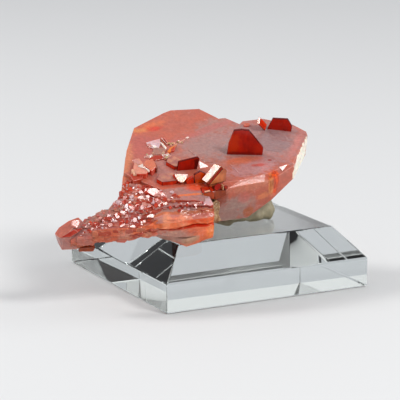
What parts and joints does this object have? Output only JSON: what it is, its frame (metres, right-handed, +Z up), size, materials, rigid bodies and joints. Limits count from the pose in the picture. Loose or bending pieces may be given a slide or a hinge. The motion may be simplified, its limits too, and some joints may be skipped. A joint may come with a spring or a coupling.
{
  "type": "vanadinite crystal cluster on an acrylic base",
  "caption": "Cluster of flat red vanadinite crystals with a trace of matrix, standing on a clear bevelled acrylic block.",
  "frame": {"origin": "middle of the acrylic block's underside", "axes": "+Z up, +X and +Y along the block's sides; the crystal arm reaches out past the block's left side, towards -X"},
  "size_m": [0.0424, 0.03, 0.0219],
  "materials": {
    "acrylic": "polished clear acrylic",
    "crystal_body": "glossy, translucent salmon red with a grey mauve sheen on the broad faces",
    "crystal_red": "glossy deep red, translucent",
    "matrix": "rough pale beige",
    "tack": "dull pale putty"
  },
  "bodies": {
    "root": {"acrylic_block": "acrylic", "tack_pad": "tack", "crystal_mass": "crystal_body", "matrix_remnant": "matrix", "upright_crystal": "crystal_red", "rear_crystal": "crystal_red", "rear_stub_crystal": "crystal_red", "face_bump_crystal": "crystal_body", "dark_crystal": "crystal_red", "dark_step_crystal": "crystal_red", "pale_stub_crystal": "crystal_body", "mirror_crystal": "crystal_red", "red_step_crystal": "crystal_red", "amber_crystal": "crystal_red", "bar_crystal": "crystal_red", "foot_crystal": "crystal_red", "box_crystal": "crystal_body", "ledge_crystal": "crystal_body", "tip_crystal": "crystal_body", "under_arm_crystal": "crystal_red"}
  },
  "joints": []
}
